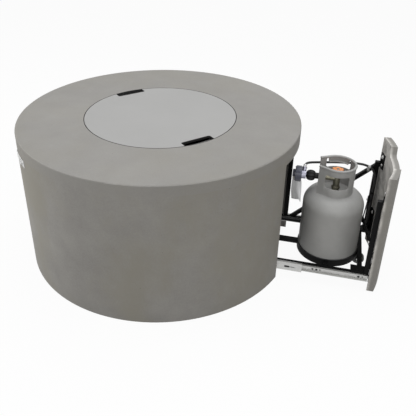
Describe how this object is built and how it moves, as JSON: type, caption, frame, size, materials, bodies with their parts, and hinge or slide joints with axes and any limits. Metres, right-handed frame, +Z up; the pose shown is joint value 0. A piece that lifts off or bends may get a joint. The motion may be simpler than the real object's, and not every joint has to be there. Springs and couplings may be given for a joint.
{
  "type": "fire pit table",
  "caption": "Round concrete gas fire pit table with a lift-out lid and a full-extension drawer that pulls a gas bottle out through a curved door in its side.",
  "frame": {"origin": "on the floor at the axis of the round table", "axes": "+X the way the drawer pulls out, +Y to the left of someone facing along +X, +Z up"},
  "size_m": [1.5, 1.12, 0.575],
  "materials": {
    "concrete": "cast fine-grained concrete, sealed matt",
    "lid_grey": "smooth satin stone-grey coating",
    "stainless": "brushed stainless steel",
    "galvanised": "bright zinc-plated rolled steel",
    "frame_black": "satin black powder coat",
    "bearer_black": "satin black paint",
    "bottle_grey": "gloss grey enamel",
    "brass": "turned brass",
    "orange": "moulded orange plastic",
    "nut_black": "moulded black plastic",
    "regulator_dark": "dark blue-black hammered enamel",
    "cast_zinc": "bright die-cast metal",
    "hose_rubber": "black gas rubber",
    "pad_rubber": "soft black rubber",
    "tag_card": "blank coated card",
    "ceramic_white": "white fired insulator",
    "roller_grey": "dark nylon",
    "copper_line": "drawn copper tube",
    "bolt_zinc": "zinc-plated hexagon fasteners"
  },
  "bodies": {
    "table": {"top_slab": "concrete", "side_wall": "concrete", "burner_pan": "stainless", "spark_electrode": "ceramic_white", "pan_nuts": "bolt_zinc", "burner_ring": "stainless", "burner_feed": "stainless", "air_mixer": "brass", "control_plate": "stainless", "control_valve": "brass", "igniter_unit": "nut_black", "bearer_near": "bearer_black", "bearer_far": "bearer_black", "floor_ties": "bearer_black", "outer_slides": "galvanised", "hose_inlet": "brass", "inlet_pipe": "copper_line", "supply_pipe": "copper_line", "feed_hose": "hose_rubber"},
    "mid_members": {"mid_slides": "galvanised"},
    "drawer": {"inner_slides": "galvanised", "rail_near": "frame_black", "rail_far": "frame_black", "front_upright_near": "frame_black", "front_upright_far": "frame_black", "corner_gussets": "frame_black", "rear_rail": "frame_black", "front_rail": "frame_black", "rear_upright": "frame_black", "centre_rail": "frame_black", "ring_stubs": "frame_black", "brace_far": "frame_black", "upper_door_brackets": "frame_black", "lower_door_brackets": "frame_black", "door_bolts": "bolt_zinc", "door_panel": "concrete", "bottle_ring": "frame_black", "bottle_tray": "frame_black", "cradle_strap": "frame_black", "strap_bolts": "bolt_zinc", "bottle_body": "bottle_grey", "bottle_foot": "bottle_grey", "bottle_collar": "bottle_grey", "bottle_valve": "brass", "regulator_body": "regulator_dark", "regulator_cap": "regulator_dark", "regulator_outlet": "cast_zinc", "hang_tag": "tag_card", "gas_hose": "hose_rubber", "hose_clips": "frame_black", "roller_axle": "bolt_zinc", "roller_fork": "frame_black"},
    "lid": {"lid_plate": "lid_grey", "lid_pads": "pad_rubber"},
    "handwheel": {"valve_wheel": "orange"},
    "coupling": {"coupling_nut": "nut_black"},
    "roller": {"roller_wheel": "roller_grey"},
    "key": {"key_spindle": "brass"},
    "button": {"igniter_button": "cast_zinc"}
  },
  "joints": [
    {"name": "drawer_slide", "type": "slide", "parent": "table", "child": "drawer", "axis": [1, 0, 0], "range_m": [-0.38, 0], "deforming": ["feed_hose"]},
    {"name": "mid_slide", "type": "slide", "parent": "table", "child": "mid_members", "axis": [1, 0, 0], "range_m": [-0.19, 0]},
    {"name": "lid_lift", "type": "slide", "parent": "table", "child": "lid", "axis": [0, 0, 1], "range_m": [0, 0.15]},
    {"name": "handwheel_turn", "type": "hinge", "parent": "drawer", "child": "handwheel", "pos_m": [0.718, 0, 0.4199], "axis": [0, 0, 1], "range_deg": [0, 540]},
    {"name": "coupling_turn", "type": "hinge", "parent": "drawer", "child": "coupling", "pos_m": [0.62, 0, 0.389], "axis": [1, 0, 0], "range_deg": [0, 720]},
    {"name": "roller_turn", "type": "hinge", "parent": "drawer", "child": "roller", "pos_m": [0.851, 0, 0.0255], "axis": [0, 1, 0], "range_deg": [-880, 10]},
    {"name": "key_turn", "type": "hinge", "parent": "table", "child": "key", "pos_m": [-0.41632, -0.35267, 0.5095], "axis": [-0.7314, -0.682, 0], "range_deg": [0, 90]},
    {"name": "button_press", "type": "slide", "parent": "table", "child": "button", "axis": [0.7314, 0.682, 0], "range_m": [0, 0.004], "stiffness_N_per_m": 900, "springref_m": -0.003}
  ],
  "couplings": [
    {"joint": "mid_slide", "follows": "drawer_slide", "ratio": 0.5},
    {"joint": "roller_turn", "follows": "drawer_slide", "rad_per_m": 40}
  ]
}
